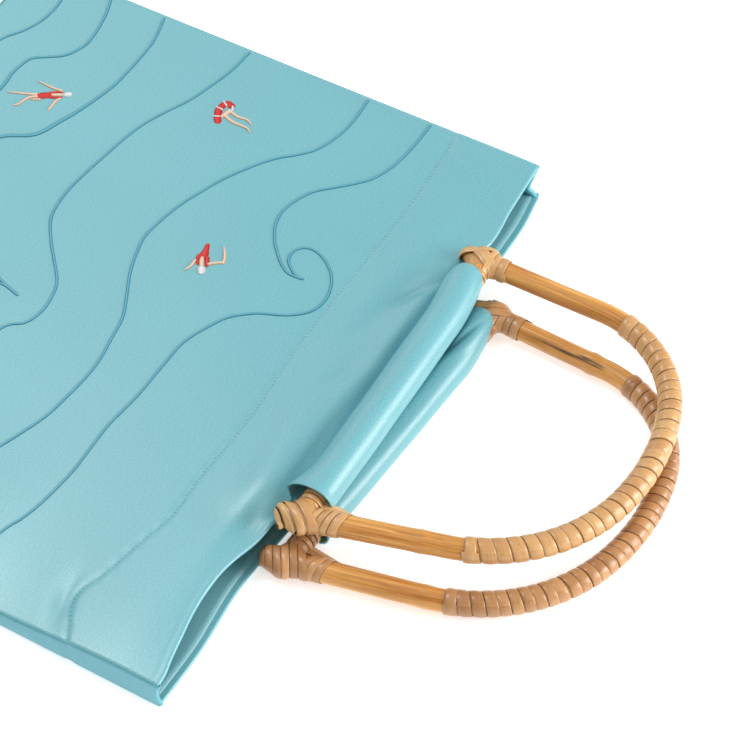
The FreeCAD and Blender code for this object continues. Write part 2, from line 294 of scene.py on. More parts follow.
def cane(name, light, dark):
    """Peeled rattan pole: straight grain, short cracks and darker marks where it is split."""
    graph = Graph(name, 0.36, Coat_Weight=0.1, Coat_Roughness=0.25, Specular_IOR_Level=0.4)
    grain = graph.attribute("grain")
    fibres = graph.noise(graph.scaled(grain, (1.3, 0.035, 1.0)), 1.0, 5.0, 0.65)
    broad = graph.noise(graph.scaled(grain, (0.16, 0.012, 1.0)), 1.0, 3.0)
    cracks = graph.noise(graph.scaled(grain, (1.0, 0.022, 4.0)), 1.0, 3.0, 0.55, 0.3)
    tone = graph.blend(graph.spread(broad), dark, light)
    fibre_tone = graph.blend(graph.spread(fibres, 0.3, 0.72), (0.66, 0.56, 0.44, 1), (1.08, 1.07, 1.05, 1))
    base = graph.blend(1.0, tone, fibre_tone, "MULTIPLY")
    base = graph.blend(graph.spread(cracks, 0.66, 0.74, 0.0, 0.75), base, rgb(92, 60, 34))
    mark = graph.attribute("mark", "Fac")
    # The cane is darker where it is split, over the dent that the split cuts.
    split_darkening = graph.maths("MULTIPLY", mark, graph.spread(fibres, 0.38, 0.6, 0.12, 1.0))
    base = graph.blend(graph.spread(split_darkening, 0.15, 0.8, 0.0, 0.92), base, rgb(70, 55, 42))
    return graph.finish(base, graph.bump(fibres, 0.3, 0.2))


def make_materials():
    aqua = rgb(114, 182, 192)
    return {
        "satin": satin("satin", aqua),
        "gusset": satin("gusset_satin", rgb(96, 176, 190), 0.5, 0.05),
        "facing": satin("facing_satin", rgb(126, 186, 194), 0.5, 0.2),
        "lining": satin("lining_cotton", rgb(196, 206, 200), 0.8, 0.1),
        # Each thread gets two colours: a lighter one for the middle of a line, which is painted sheen, and a
        # darker one for its sides, which is painted shade.
        "sewing": thread("sewing_thread", rgb(92, 160, 173), rgb(62, 130, 146)),
        # The near seam's stitches are coloured near white as painted highlights, for the glints they catch.
        "glint_sewing": thread("light_sewing_thread", rgb(190, 228, 232), rgb(120, 180, 190)),
        "wave": thread("wave_thread", rgb(96, 180, 198), rgb(28, 120, 142)),
        "red": thread("red_thread", rgb(224, 36, 30), rgb(186, 22, 22), 0.5),
        "flesh": thread("flesh_thread", rgb(240, 216, 190), rgb(206, 164, 134), 0.5),
        "white": thread("white_thread", rgb(240, 240, 240), rgb(196, 206, 212), 0.5),
        "front_peel": peel("front_peel", rgb(224, 179, 122), rgb(205, 154, 98)),
        # The back peel is a darker copy of the front peel: painted shade, as the back handle lies in the
        # front handle's shadow.
        "back_peel": peel("back_peel", rgb(208, 156, 103), rgb(172, 122, 77)),
        "cane": cane("cane", rgb(242, 184, 104), rgb(196, 129, 56)),
        "steel": steel(),
    }


def steel():
    graph = Graph("brad_steel", 0.35, Metallic=1.0)
    scuffs = graph.noise(graph.node("ShaderNodeTexCoord").outputs["Object"], 900.0, 3.0)
    base = graph.blend(graph.spread(scuffs), (0.42, 0.41, 0.39, 1), (0.58, 0.57, 0.55, 1))
    return graph.finish(base, graph.bump(scuffs, 0.2, 0.02))


# ---- shape of the cloth

TURNED_HEM = 8.0
MOUTH_REACH = 60  # how far from the mouth the curve of its edge dies out

# Mouth edges in plan, as (x, v).
FRONT_MOUTH = [(-170, 0.4), (-163, 0.8), (-156, 2.4), (-144, 4.6), (-130, 7.0), (-118, 7.8), (-105, 7.2),
               (-96, 5.4), (-88, 3.2), (-78, 1.6), (-60, 1), (0, 0), (60, 0), (90, -1.2), (101, -1.4),
               (112, -3.6), (140, -1.8), (170, 0)]
BACK_MOUTH = [(-170, 0), (-138, -0.2), (-101, 2.6), (-60, 0), (60, -3), (126, -4.5), (148, -4), (170, -1)]

# The line of pick stitches that holds the front hem, as (x, v).
HEM_LINE = [(-170, 47), (-160, 52.5), (-154, 55.7), (-146, 57), (-135, 53), (-112, 47.5), (-94, 43),
            (-69, 43), (-46, 41.5), (-30, 41), (9, 43), (143, 43), (170, 45.5)]

# Soft folds of the front panel: (x, v, direction in degrees, half length, half width, height).
FRONT_FOLDS = [
    (70, 11.5, -32, 14, 2.3, -2.3),
    (-38, 5.5, 0, 40, 2.8, -1.7),
    (68, 18, -8, 46, 7, -1.6),
    (26, 6, -5, 50, 7, 1.6),
    (14, 15, -31, 22, 5.5, -1.3),
    (-48, 17, 2, 34, 7.5, 1.2),
    (4, 23, 1, 72, 11, 1.5),
    (-80, 10.5, -4, 19, 4, -1.3),
    (-120, 2, 0, 34, 16, -0.8),
    (-152, 61, 14, 12, 4.5, -1.0),
    (130, 22, 5, 30, 14, 0.7),
    (60, 120, 35, 90, 40, 0.9),
    (-70, 150, 50, 80, 45, -1.1),
    (-20, 230, 20, 90, 40, 0.8),
    (155, 41, 60, 8, 2.5, -0.6),
    (90, 2, 0, 12, 8, -2.9),
    (-84, 3, 0, 13, 8, -0.7),
]


def follow(line, x):
    """A smooth curve through the points of a line."""
    xs, ys = (np.array(values, float) for values in zip(*line))
    slopes = np.gradient(ys, xs)
    x = np.clip(np.asarray(x, float), xs[0], xs[-1])
    i = np.clip(np.searchsorted(xs, x) - 1, 0, len(xs) - 2)
    span = xs[i + 1] - xs[i]
    t = (x - xs[i]) / span
    return (ys[i] * (1 + 2 * t) * (1 - t) ** 2 + ys[i + 1] * t * t * (3 - 2 * t)
            + span * (slopes[i] * t * (1 - t) ** 2 - slopes[i + 1] * t * t * (1 - t)))


def fold(x, v, place_x, place_v, direction, length, width, height):
    turn = math.radians(direction)
    along = (x - place_x) * math.cos(turn) + (v - place_v) * math.sin(turn)
    across = (v - place_v) * math.cos(turn) - (x - place_x) * math.sin(turn)
    return height * np.exp(-(along / length) ** 2 - (across / width) ** 2)


def front_height(x, v):
    """Height of the outside of the front panel, without its hem and edges."""
    t = (x + HALF_WIDTH) / (2 * HALF_WIDTH)
    rest = 1 - np.clip(v, 0, BAG_HEIGHT) / BAG_HEIGHT
    near = 9.4 + 6.8 * ease((100 - v) / 85)
    far = 14 + 9.5 * rest ** 1.2
    middle = 13 + 7.6 * rest
    control = 2 * middle - (near + far) / 2
    z = near * (1 - t) ** 2 + 2 * control * t * (1 - t) + far * t * t
    tab = ease((x + 85) / 30) * ease((118 - x) / 30)
    z = z + 3.0 * tab * np.exp(-(np.maximum(v, 0) / 24) ** 2)
    z = z + 1.4 * (1 - np.exp(-(x + HALF_WIDTH) / 17)) * ease((HALF_WIDTH - x) / 200)
    for each in FRONT_FOLDS:
        z = z + fold(x, v, *each)
    return z


def front_surface(x, v):
    """Height of the front panel with the hem's step, groove and puckers, and rounded side edges."""
    z = front_height(x, v)
    past_hem = v - follow(HEM_LINE, x)
    z = z + 0.26 * ease(-past_hem / 1.8) - 0.30 * np.exp(-((past_hem - 0.9) / 1.3) ** 2)
    z = z + 0.09 * np.sin(2 * math.pi * x / 8.4) * np.exp(-(past_hem / 3.0) ** 2)
    from_mouth = v - follow(FRONT_MOUTH, x)
    z = z - 0.12 * np.exp(-((from_mouth - 3.4) / 1.0) ** 2)
    tab = ease((x + 76) / 8) * ease((112 - x) / 8)
    z = z - 4.2 * tab * np.exp(-(np.maximum(from_mouth, 0) / 3.6) ** 2)
    at_edge = np.clip(np.abs(x) - (HALF_WIDTH - 2.0), 0, 2.0) / 2.0
    return z - 1.3 * (1 - np.sqrt(1 - np.minimum(at_edge, 0.98) ** 2))


def sheet_rows(radius, reach, *stretches):
    """Rows of a sheet whose edge is turned in: places from the mouth, and depths below the surface."""
    rows = [(reach, 2 * radius), ((reach + radius) / 2, 2 * radius), (radius, 2 * radius)]
    for step in range(1, 7):
        angle = math.pi / 2 - math.pi * step / 7
        rows.append((radius - radius * math.cos(angle), radius + radius * math.sin(angle)))
    places, depths = np.array(rows + [(v, 0.0) for v in spaced(*stretches)]).T
    return places, depths[:, None]


def spaced(*stretches):
    """Values along stretches given as (start, end, step), without repeats."""
    values = []
    for start, end, step in stretches:
        count = max(1, round((end - start) / step))
        values += list(np.linspace(start, end, count, endpoint=False))
    return values + [stretches[-1][1]]


def side_columns():
    """Places across a panel, closer together where its side edges round over."""
    half = HALF_WIDTH
    return np.array(spaced((-half, -half + 3, 0.5), (-half + 3, half - 3, 2.0), (half - 3, half, 0.5)))


def build_front_panel(satin_material):
    radius = 1.2
    v_rest, drop = sheet_rows(radius, TURNED_HEM, (radius, 8, 0.8), (8, 36, 1.3), (36, 64, 0.8),
                              (64, BAG_HEIGHT - 1, 2.4))
    x, v = np.meshgrid(side_columns(), v_rest)
    mouth = follow(FRONT_MOUTH, x)
    v = v + mouth * (1 - ease(v / MOUTH_REACH))
    z = front_surface(x, np.maximum(v, mouth + radius)) - drop
    piece = add_piece("front_panel_satin", [shell(on_bag(x, v, z), 0.5, (x, v, 0.0))], satin_material,
                      "bag_front", ["front_panel"])


def back_surface(x, v):
    """Height of the inside of the back panel: it lies on the surface with slight waves."""
    return 2.2 + 0.35 * np.sin(x / 23.0 + 0.4) * np.sin(v / 31.0 + 1.0) + 0.25 * np.sin((x + v) / 17.0)


def build_back_panel(satin_material):
    v_rest, rise = sheet_rows(1.0, TURNED_HEM, (1.0, 8, 1.2), (8, BAG_HEIGHT - 0.3, 3.0))
    x, v = np.meshgrid(side_columns()[::-1], v_rest)
    v = v + follow(BACK_MOUTH, x) * (1 - ease(v / MOUTH_REACH))
    bevel = np.clip(np.abs(x) - (HALF_WIDTH - 2.0), 0, 2.0) / 2.0
    z = 0.15 + rise + 0.8 * bevel ** 2
    piece = add_piece("back_panel_satin", [shell(on_bag(x, v, z), 0.45, (x, v, 40.0))], satin_material,
                      "bag_back", ["back_panel"])


def build_inner_sheets(materials):
    """Facings and linings inside the front and the back."""
    inner = HALF_WIDTH - 2.4
    hem = (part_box("back_facing")[1].y - back_low.y) / MM
    spans = (("facing", 3.0, hem, "facing_satin", 0.6), ("lining", hem + 0.4, BAG_HEIGHT - 3, "lining", 0.4))
    for side, mouth, order in (("front", FRONT_MOUTH, -1), ("back", BACK_MOUTH, 1)):
        for what, start, end, slot, thick in spans:
            x, v = np.meshgrid(np.linspace(-inner, inner, 120)[::order], spaced((start, end, 3.0)))
            v = v + follow(mouth, x) * (1 - ease(v / 40))
            z = front_height(x, v) - 3.2 if side == "front" else back_surface(x, v) + 0.3
            add_piece(f"{side}_{what}_cloth", [shell(on_bag(x, v, z), thick, (x, v, 80.0))], materials[what],
                      "bag_" + side, [f"{side}_{what}"])


def gusset_fold(side, v, rise):
    """How far a gusset stands out (+) or folds in (-) at a share of its height."""
    if side == "near":
        return 0.5 * np.sin(math.pi * rise) - 0.5 * np.exp(-((v - 47) / 2.0) ** 2)
    crease = 1 - np.abs(rise - 0.55) / np.where(rise < 0.55, 0.55, 0.45)
    depth = 1.2 + 5.0 * np.exp(-np.maximum(v, 0) / 45.0)
    return -depth * np.clip(crease, 0, 1) ** 1.3


def build_gussets(materials):
    """The two side walls; each bends between the back and the front where the mouth opens."""
    v_rest, depth = sheet_rows(0.9, 6.0, (0.9, 60, 1.5), (60, BAG_HEIGHT - 2, 3.0))
    faced = (v_rest > 3.0) & (v_rest < 44) & (depth[:, 0] == 0)
    for side, out, high in (("near", -1, 8.5), ("far", 1, 12.5)):
        rise, v = np.meshgrid(np.linspace(0, 1, 17)[::out], v_rest)
        top = front_surface(out * (HALF_WIDTH - 0.6), np.maximum(v, 1.5)) - 0.35
        z = 0.9 + (top - 0.9) * rise
        mouth_lean = 1.5 * np.sin(math.pi * rise) * (1 - ease(v / 30))
        stand = gusset_fold(side, v, rise)
        points = on_bag(out * (HALF_WIDTH - 0.15 + stand - depth), v + mouth_lean, z)
        wall = add_piece(f"{side}_gusset_satin", [shell(points, 0.5, (z + 300.0, v, 0.0))],
                         materials["gusset"], None, [f"{side}_gusset"])
        inside = on_bag(out * (HALF_WIDTH - 1.4 + stand), v, 2.9 + (top - 3.4) * rise)[faced][:, ::-1]
        grain = ((z + 300.0)[faced][:, ::-1], v[faced][:, ::-1], 0.0)
        facing = add_piece(f"{side}_gusset_facing_cloth", [shell(inside, 0.4, grain)], materials["facing"],
                           None, [f"{side}_gusset_facing"])
        for piece in (wall, facing):
            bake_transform(piece)


def build_base(material):
    x, rise = np.meshgrid(side_columns()[::-1], np.linspace(0, 1, 9))
    top = front_surface(x, np.full_like(x, BAG_HEIGHT - 1)) - 0.3
    v = BAG_HEIGHT - 0.5 + 0.35 * np.sin(math.pi * rise)
    z = 0.3 + (top - 0.3) * rise
    wall = add_piece("base_gusset_satin", [shell(on_bag(x, v, z), 0.5, (x, z + 500, 0.0))], material, None,
                     ["base_gusset"])
    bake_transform(wall)


# ---- rolled tabs round the crossbars

def bar_of(side):
    """Middle of a crossbar, in row-frame mm, and its direction towards +X."""
    joint = JOINTS[f"{side}_handle_swing"]
    return np.array(joint["pos_m"]) / MM, -unit(joint["axis"])


# Section of each tab: radius round the bar, then the two legs that go in at the mouth, as
# (towards the base, up) from the middle of the bar.
TABS = {
    "front": {"radius": 9.2, "reach": (-74.4, 76.0), "turn": (8, 283), "mouth": 3.0, "end_shift": (2.6, 1.0),
              "top_leg": [(24, -5.5), (15, -5.2), (10.4, -3.0)],
              "mouth_leg": [(9.0, -10.5), (11.6, -7.0), (12.7, -2.6)],
              "low_leg": [(6.5, -8.4), (13, -6.2), (24, -5.7)]},
    "back": {"radius": 8.3, "reach": (-64.0, 82.0), "turn": (12, 268), "mouth": 0.8, "end_shift": (3.4, 1.6),
             "top_leg": [(27, -5.1), (19, -5.0), (13, -3.4)],
             "mouth_leg": [(27, -5.1), (19, -5.0), (13, -3.4)],
             "low_leg": [(7.5, -7.5), (14, -6.4), (27, -5.6)]},
}
# Creases in a tab: (place along the bar, angle, slant in degrees per mm, length, width, depth).
TAB_CREASES = {
    "front": [(-58, 292, 2.0, 9, 14, -0.9), (-45, 300, 1.0, 22, 10, 0.7), (40, 150, 0.3, 60, 40, 0.25),
              (-20, 60, 0.2, 50, 30, -0.35), (66, 90, 1.0, 12, 30, -0.3)],
    "back": [(58, 75, 2.6, 13, 8, -1.9), (54, 100, 2.0, 16, 14, 0.6), (52, 40, 1.0, 18, 14, -1.2),
             (-30, 150, 0.4, 40, 30, 0.3), (10, 110, 0.5, 30, 22, -0.3)],
}


def tab_section(side, s):
    """Points round the tab at a place along the bar, as (towards the base, up)."""
    tab = TABS[side]
    near_end, far_end = tab["reach"]
    angles = np.linspace(*tab["turn"], 44)
    radius = tab["radius"] * (1 + 0.012 * np.sin(s / 19 + angles / 70) + 0.008 * math.sin(s / 7.5))
    for place, angle, slant, length, width, depth in TAB_CREASES[side]:
        off = angles - angle - slant * (s - place)
        radius = radius + depth * math.exp(-((s - place) / length) ** 2) * np.exp(-(off / width) ** 2)
    end = max(0.0, 1 - (far_end - s) / 15.0)
    shrink = 1 - 0.40 * (1 - math.sqrt(max(0.0, 1 - end ** 2)))
    flare = 0.5 * math.exp(-((s - near_end) / 2.5) ** 2)
    radius = radius * shrink + flare
    turn = np.radians(angles)
    ring = np.stack([radius * np.cos(turn), radius * np.sin(turn)], -1)
    opening = math.exp(-((s - near_end) / 11.0) ** 2)
    ring[:, 0] += tab["mouth"] * opening * np.clip(ring[:, 0] / tab["radius"] + 0.3, 0, 1.3)
    ring += np.array(tab["end_shift"]) * ease(1 - (far_end - s) / 34.0)
    top = np.array(tab["top_leg"]) * (1 - opening) + np.array(tab["mouth_leg"]) * opening
    low = np.array(tab["low_leg"], float)
    top[-1] *= shrink
    low[0] *= shrink
    return smooth_line(np.concatenate([top, ring, low]), 96)


def smooth_line(points, count):
    """Points evenly spaced along a Catmull-Rom curve through a line of points."""
    points = np.asarray(points, float)
    padded = np.concatenate([[2 * points[0] - points[1]], points, [2 * points[-1] - points[-2]]])
    t = np.linspace(0, 1, 6, endpoint=False)[:, None]
    pieces = []
    for a, b, c, d in zip(padded, padded[1:], padded[2:], padded[3:]):
        pieces.append(0.5 * (2 * b + (c - a) * t + (2 * a - 5 * b + 4 * c - d) * t ** 2
                             + (3 * b - a - 3 * c + d) * t ** 3))
    return even_points(np.concatenate(pieces + [points[-1:]]), count)[0]


def even_points(line, count=None):
    """Points evenly spaced along a line, 1 mm apart if no count is given, and their places."""
    lengths = np.concatenate([[0], np.cumsum(np.linalg.norm(np.diff(line, axis=0), axis=1))])
    places = np.linspace(0, lengths[-1], count or int(lengths[-1]) + 1)
    return np.stack([np.interp(places, lengths, line[:, axis]) for axis in (0, 1)], -1), places


def build_tabs(material):
    for side in ("front", "back"):
        middle, along = bar_of(side)
        base = unit(np.cross([0, 0, 1], along))
        near_end, far_end = TABS[side]["reach"]
        places = spaced((near_end, near_end + 6, 0.6), (near_end + 6, far_end - 14, 1.5),
                        (far_end - 14, far_end, 0.6))
        sections = np.array([tab_section(side, s) for s in places]).transpose(1, 0, 2)[::-1]
        points = middle + along * np.array(places)[:, None] + sections[..., :1] * base
        points[..., 2] = np.maximum(points[..., 2] + sections[..., 1], 0.12)
        length = np.linspace(75, 0, len(points))[:, None]
        add_piece(f"{side}_tab_satin", [shell(points, 0.8, (places, length, 150.0))], material,
                  "bag_" + side, [f"{side}_casing"])


# ---- embroidery and stitches

def surface_frame(x, v):
    """Points on the front panel and its outward normals."""
    step = 0.4
    z = front_surface(x, v)
    slope_x = (front_surface(x + step, v) - front_surface(x - step, v)) / (2 * step)
    slope_v = (front_surface(x, v + step) - front_surface(x, v - step)) / (2 * step)
    normal = unit(np.stack([-slope_x, -slope_v, np.ones_like(z)], -1))
    return on_bag(x, v, z), normal


def ridge(line, half_widths, height, step=0.9, across=7):
    """A raised line of satin stitch on the front panel through (x, v) points."""
    line = np.asarray(line, float)
    line[0] += unit(line[0] - line[1]) * half_widths[0] * 0.8
    line[-1] += unit(line[-1] - line[-2]) * half_widths[-1] * 0.8
    length = np.linalg.norm(np.diff(line, axis=0), axis=1).sum()
    count = max(8, int(length / step))
    widths = np.interp(np.linspace(0, 1, count), np.linspace(0, 1, len(half_widths)), half_widths)
    path = smooth_line(line, count)
    along = unit(np.gradient(path, axis=0))
    travelled = np.linspace(0, length, count)
    cap = np.minimum(1.0, np.minimum(travelled, length - travelled) / np.maximum(widths, 0.3))
    widths = (widths * np.sqrt(np.clip(1 - (1 - cap) ** 2, 0.02, 1)))[:, None]
    share = np.linspace(-1, 1, across)
    base, normal = surface_frame(path[:, :1] + along[:, 1:] * widths * share,
                                 path[:, 1:] - along[:, :1] * widths * share)
    lift = height * np.sqrt(np.clip(1 - share ** 2, 0, 1)) * np.minimum(1, cap + 0.3)[:, None]
    return shell(base + normal * (lift[..., None] - 0.06), 0.12, (share, travelled[:, None], 0.0))


# Wave lines as (x, v) points and their half widths along the way.
WAVES = [
    ([(168, 273), (152, 268), (138, 268), (126, 272), (114, 279), (90, 284), (55, 281), (0, 262), (-60, 258),
      (-110, 266), (-168, 260)], [0.8]),
    ([(168, 247), (154, 242), (137, 239), (129, 240), (121, 244), (115, 252), (110, 258), (98, 260),
      (85, 259), (50, 262), (10, 246), (-45, 230), (-100, 236), (-168, 226)], [0.8, 1.0, 1.3, 0.9, 0.8]),
    ([(168, 215), (153, 211), (142, 210), (128, 210), (113, 211), (93, 216), (82, 220), (68, 226), (58, 240),
      (42, 243), (18, 232), (0, 210), (-15, 192), (-21, 175)], [0.75, 0.8, 1.3, 1.2, 0.9, 0.8]),
    ([(-21, 175), (-19, 186), (-24, 194), (-36, 201), (-62, 204), (-100, 194), (-135, 198), (-168, 206)],
     [0.8]),
    ([(168, 164), (153, 165), (139, 168), (125, 172), (112, 178), (100, 183), (87, 186), (73, 188),
      (58, 190), (45, 191), (33, 190), (24, 187), (13, 179), (5, 172), (-6, 163), (-17, 160), (-25, 160),
      (-33, 163), (-41, 171), (-70, 178), (-110, 170), (-168, 176)], [0.8]),
    ([(168, 95), (153, 94), (141, 95), (128, 99), (120, 105), (109, 116), (89, 128), (74, 134), (63, 138),
      (49, 141), (38, 142), (28, 140), (16, 136), (2, 129), (-9, 124), (-21, 122), (-34, 120), (-46, 120),
      (-62, 122), (-73, 124), (-87, 129), (-97, 133), (-130, 147), (-168, 150)], [0.8]),
    ([(168, 59.5), (152.6, 59.6), (136.4, 61.4), (124.4, 65.6), (118, 70.3), (109.3, 79.1), (102.3, 86.2),
      (93.9, 90.6), (83.7, 92.9), (74.4, 91.3), (66.1, 86.7), (60.8, 82.2), (55.1, 76.3), (51.9, 71.3),
      (51.4, 66.9), (52, 62.2)], [0.8]),
    ([(52, 62.2), (52.3, 66.5), (55.3, 71.3), (58.7, 74.4), (62.9, 75.3), (66.7, 74.2), (69.6, 70.5),
      (69.5, 64.7), (66.5, 58.5), (61, 52.3), (54.1, 48.4), (46.9, 46.7), (39.7, 47.7), (34.2, 51.4),
      (29, 58.3), (24.1, 69.3), (20.1, 74.9), (15.5, 80.1), (9, 84.2), (-6.7, 90.8), (-22, 92.1), (-42, 93),
      (-57, 95), (-67, 96), (-90, 96), (-101, 97), (-114, 99), (-125, 102), (-135, 106), (-168, 114)],
     [0.8, 0.75]),
]

# Bathers and a swim ring, as (look, points, half widths).
MOTIFS = [
    # swimming away with arms spread
    ("flesh", [(85.2, 254.5), (86.7, 251.0), (88.6, 246.4), (91.0, 241.0)], [0.4, 0.7, 0.9, 1.1]),
    ("flesh", [(79.1, 246.5), (80.8, 245.2), (85.1, 243.9), (88.2, 242.3), (89.9, 239.8)],
     [0.4, 0.8, 0.9, 1.0, 1.2]),
    ("flesh", [(86.9, 241.2), (89.0, 237.6)], [0.6, 0.9]),
    ("red", [(89.8, 240.5), (91.0, 239.0), (92.6, 236.8), (94.3, 234.3)], [0.9, 2.5, 2.3, 2.4]),
    ("red", [(95.4, 235.6), (97.2, 233.0), (98.5, 230.6)], [0.9, 0.8, 0.6]),
    ("red", [(92.6, 233.4), (94.0, 231.0), (95.4, 228.8)], [0.8, 0.7, 0.6]),
    ("flesh", [(94.6, 234.0), (95.8, 231.8), (97.0, 229.7)], [1.1, 1.3, 1.3]),
    ("flesh", [(99.2, 231.5), (98.8, 235.8), (98.9, 240.4), (99.0, 245.1)], [0.9, 0.9, 0.7, 0.4]),
    ("flesh", [(94.4, 228.9), (92.4, 229.8), (89.3, 229.9), (85.1, 229.6)], [0.8, 0.9, 0.8, 0.6]),
    ("white", [(98.2, 227.8), (99.0, 226.8)], [2.0, 1.9]),
    # in a swim ring
    ("red", [(118.9, 151.9), (120.9, 153.6)], [2.0, 2.1]),
    ("white", [(120.6, 156.2), (122.0, 153.0)], [0.5, 0.6]),
    ("red", [(122.4, 154.2), (125.9, 156.0)], [2.1, 2.2]),
    ("white", [(126.9, 158.0), (126.8, 154.4)], [0.5, 0.6]),
    ("red", [(127.7, 156.0), (130.6, 155.4)], [2.2, 2.1]),
    ("white", [(132.0, 157.0), (130.0, 153.9)], [0.5, 0.6]),
    ("red", [(132.0, 154.6), (131.2, 151.4)], [2.1, 2.0]),
    ("white", [(131.2, 151.0), (129.0, 150.0)], [0.6, 0.7]),
    ("flesh", [(123.3, 151.9), (128.0, 150.6)], [1.6, 1.8]),
    ("flesh", [(127.8, 150.8), (126.4, 145.0), (126.8, 140.1), (124.9, 136.3)], [1.2, 1.0, 0.9, 0.4]),
    ("flesh", [(124.1, 151.3), (122.2, 145.9), (122.1, 141.0), (121.8, 136.8), (120.0, 134.2)],
     [1.2, 1.1, 1.0, 0.8, 0.4]),
    # swimming up, one arm raised
    ("red", [(47.8, 112.7), (44.6, 111.7), (42.2, 111.0), (40.0, 110.8)], [1.1, 1.5, 2.5, 2.9]),
    ("red", [(40.6, 112.8), (38.0, 112.5), (35.2, 110.5)], [0.9, 0.9, 0.7]),
    ("red", [(40.8, 108.6), (38.4, 107.2), (36.2, 106.0)], [1.3, 1.3, 0.9]),
    ("flesh", [(39.8, 110.7), (37.6, 109.7), (35.6, 108.5)], [1.0, 1.4, 1.4]),
    ("white", [(33.7, 107.4), (32.2, 106.6)], [2.2, 2.2]),
    ("flesh", [(36.8, 112.8), (32.4, 112.8), (29.4, 114.0)], [0.9, 0.9, 0.5]),
    ("flesh", [(37.6, 106.0), (40.1, 103.1), (41.8, 100.4)], [1.0, 1.0, 1.0]),
    ("flesh", [(41.6, 100.2), (45.4, 101.7), (50.4, 105.3)], [1.0, 0.9, 0.4]),
    # one more bather, on the part of the panel nearest the base
    ("red", [(-104, 207), (-109, 219)], [2.4, 2.0]),
    ("flesh", [(-112, 221), (-115, 231)], [1.0, 0.6]),
    ("flesh", [(-108, 221), (-105, 232)], [1.0, 0.6]),
    ("flesh", [(-101, 207), (-91, 214)], [0.9, 0.5]),
    ("flesh", [(-106, 205), (-116, 203)], [0.9, 0.5]),
    ("white", [(-103, 204), (-101, 200)], [2.1, 2.1]),
]


def build_embroidery(materials):
    lines = [ridge(points, widths, 0.5) for points, widths in WAVES]
    add_piece("wave_lines", lines, materials["wave"], "bag_front", ["wave_embroidery"])
    for look, node, height in (("red", "suit", 0.5), ("flesh", "limb", 0.6), ("white", "cap", 0.75)):
        shapes = [ridge(points, widths, height, 0.35) for kind, points, widths in MOTIFS if kind == look]
        add_piece(f"{look}_motifs", shapes, materials[look], "bag_front", [f"{node}_embroidery"])


PICK_PITCH = 2.1
SEAM_PITCH = 3.3


def build_stitches(materials):
    """Pick stitches along the hems and short stitches along the near side seam."""
    places = np.arange(-HALF_WIDTH + 6, HALF_WIDTH - 5, PICK_PITCH)
    front = []
    for x in places:
        v = float(follow(HEM_LINE, x))
        front.append(ridge([(x - 0.15, v + 0.7), (x, v), (x + 0.1, v - 0.6)], [0.17, 0.17], 0.14, 0.4, 5))
    add_piece("front_pick_stitches", front, materials["sewing"], "bag_front", ["front_hem_stitches"])
    seam = []
    for v in np.arange(3.0, 46.0, SEAM_PITCH):
        x = -HALF_WIDTH + 1.6
        seam.append(ridge([(x, v - 0.7), (x - 0.1, v), (x + 0.1, v + 0.8)], [0.22, 0.22], 0.22, 0.3, 5))
    # Painted highlights: these stitches take a near-white thread colour that stands in for the glints along
    # the seam.
    add_piece("near_seam_stitches", seam, materials["glint_sewing"], "bag_front", ())
    across, v = np.meshgrid((0.25, 0.0, -0.25), (42.8, 44.0, 45.2))
    z = 0.12 - 0.06 * np.cos(across * 5)
    back = [shell(on_bag(x + across, v, z), 0.06, (0.0, 0.0, 0.0)) for x in places]
    add_piece("back_pick_stitches", back, materials["sewing"], "bag_back", ["back_hem_stitches"])


# ---- handles

HOOP_HALF_WIDTH = 84.8
HOOP_RISE = 119.4
HOOP_OVERSHOOT = 5.0
CROWN_RADIUS = 105.0
CROWN_OFFSET = 18.0
# Ends of a hoop: side, lean of the straight arm, radius of the shoulder, radius of the cane there.
HOOP_ENDS = {"near": (-1, math.radians(18.0), 82.0, 5.35), "far": (1, math.radians(-3.0), 54.0, 4.9)}
BAR_RADIUS = 5.0
WRAP_START = 78.0
# Painted shade darkens each peel towards these side edges, for the shade in the gaps between turns.
GRAIN_WIDTH = 2.6  # the grain's value at the side edges of a peel, where its material darkens
DROOP = {"front": 3.1, "back": 0.96}


def shoulder(end, crown):
    """Where a straight arm starts, where it meets its shoulder arc, that arc's centre and its other end."""
    side, lean, radius, _ = HOOP_ENDS[end]
    corner = np.array([side * HOOP_HALF_WIDTH, 0.0])
    along = np.array([-side * math.sin(lean), math.cos(lean)])
    inward = np.array([-side * math.cos(lean), -math.sin(lean)])
    offset = corner + inward * radius - crown
    reach = along @ offset
    slack = offset @ offset - (CROWN_RADIUS - radius) ** 2
    centre = crown + offset + along * (math.sqrt(reach * reach - slack) - reach)
    meet = crown + unit(centre - crown) * CROWN_RADIUS
    return corner - along * HOOP_OVERSHOOT, centre - inward * radius, centre, meet


def arc(centre, start, end):
    """Points along the shorter arc from start to end."""
    first = math.atan2(*(start - centre)[::-1])
    sweep = (math.atan2(*(end - centre)[::-1]) - first + math.pi) % (2 * math.pi) - math.pi
    turns = first + np.linspace(0, sweep, 60)
    radius = np.linalg.norm(start - centre)
    return centre + radius * np.stack([np.cos(turns), np.sin(turns)], -1)


def hoop_outline():
    """Points along the hoop from its near end, as (along the bar, out from it), and their places."""
    crown = np.array([CROWN_OFFSET, HOOP_RISE - CROWN_RADIUS])
    near = shoulder("near", crown)
    far = shoulder("far", crown)
    line = np.concatenate([near[0][None], arc(near[2], near[1], near[3]), arc(crown, near[3], far[3])[1:],
                           arc(far[2], far[3], far[1])[1:], far[0][None]])
    return even_points(line)


HOOP_LINE, HOOP_PLACES = hoop_outline()
HOOP_LENGTH = HOOP_PLACES[-1]


def cane_radius(s):
    """The cane thins a little from its near end to its far end."""
    return 5.38 - 0.50 * s / HOOP_LENGTH


def handle_axes(side):
    """Middle of the bar and the bar, out and up directions of a handle as it lies."""
    middle, along = bar_of(side)
    level_out = unit(np.cross(along, [0, 0, 1]))
    fall = math.radians(DROOP[side])
    out = level_out * math.cos(fall) - np.array([0, 0, math.sin(fall)])
    return middle, along, out, -np.cross(along, out)


